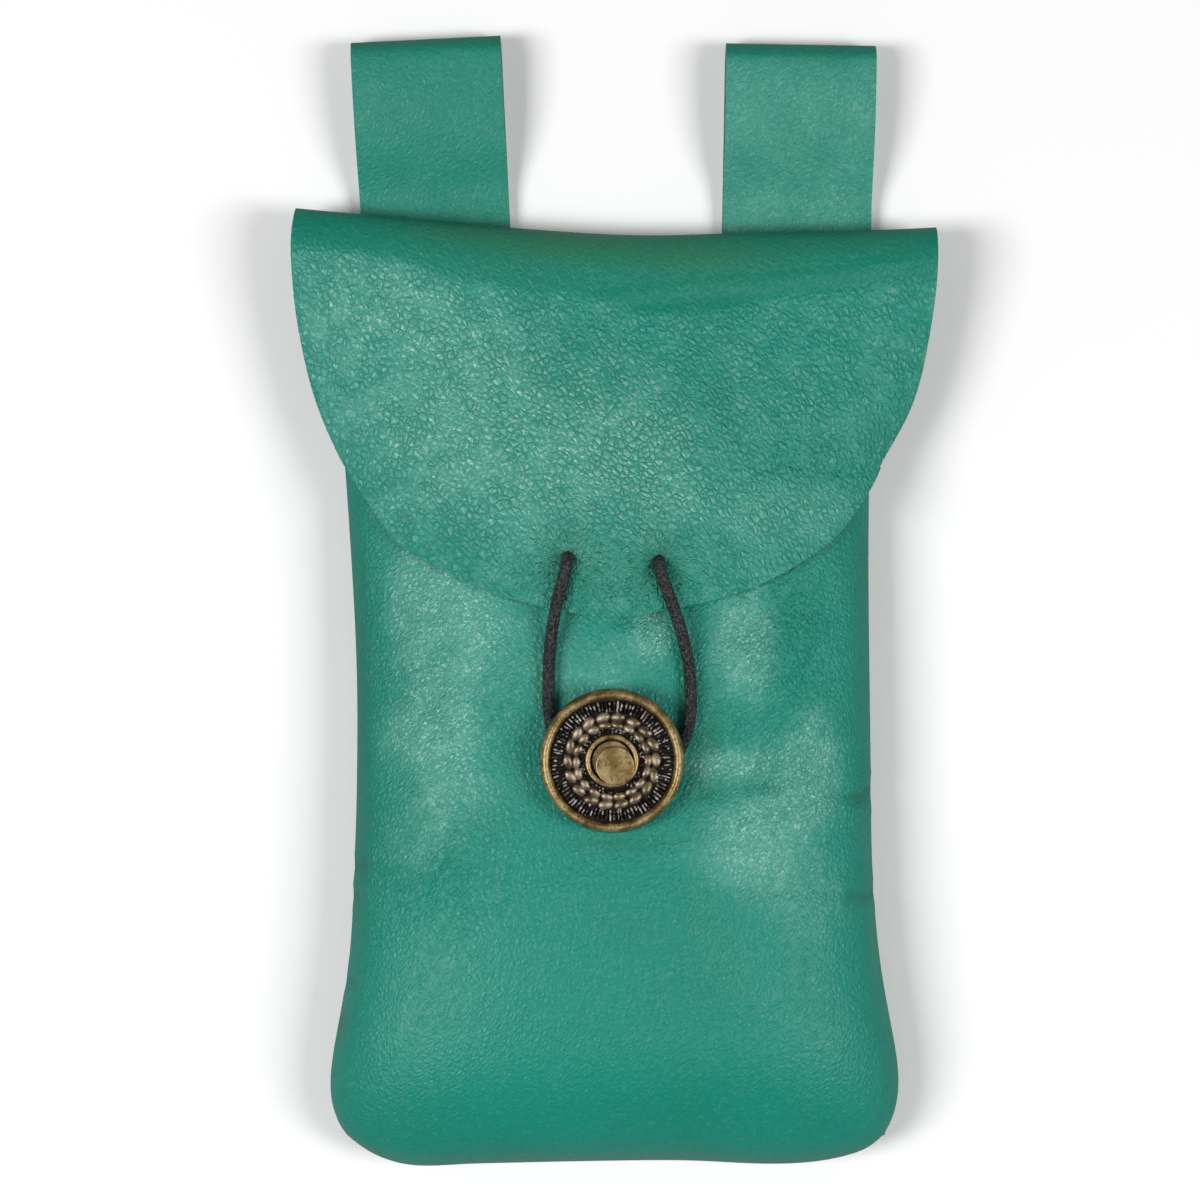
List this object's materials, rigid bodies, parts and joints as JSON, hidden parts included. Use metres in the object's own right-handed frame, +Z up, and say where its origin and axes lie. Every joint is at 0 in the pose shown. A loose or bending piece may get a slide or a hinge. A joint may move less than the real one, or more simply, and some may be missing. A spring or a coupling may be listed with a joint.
{
  "type": "medieval belt pouch",
  "caption": "Flapped leather belt pouch in mid green, with two belt loops and a black elastic cord that hooks on a cast antique brass button.",
  "frame": {"origin": "on the ground, under the middle of the whole pouch as it lies on its back", "axes": "+Z up, out of the pouch's front; +Y from the bottom seam towards the belt loops; +X to the right as seen from the front"},
  "size_m": [0.1146, 0.203, 0.0298],
  "materials": {
    "leather": "satin",
    "elastic": "matte",
    "antique_brass": "satin"
  },
  "bodies": {
    "root": {"back_and_flap": "leather", "front_panel": "leather", "belt_loop_left": "leather", "belt_loop_right": "leather", "closure_cord": "elastic", "button": "antique_brass"}
  },
  "joints": []
}
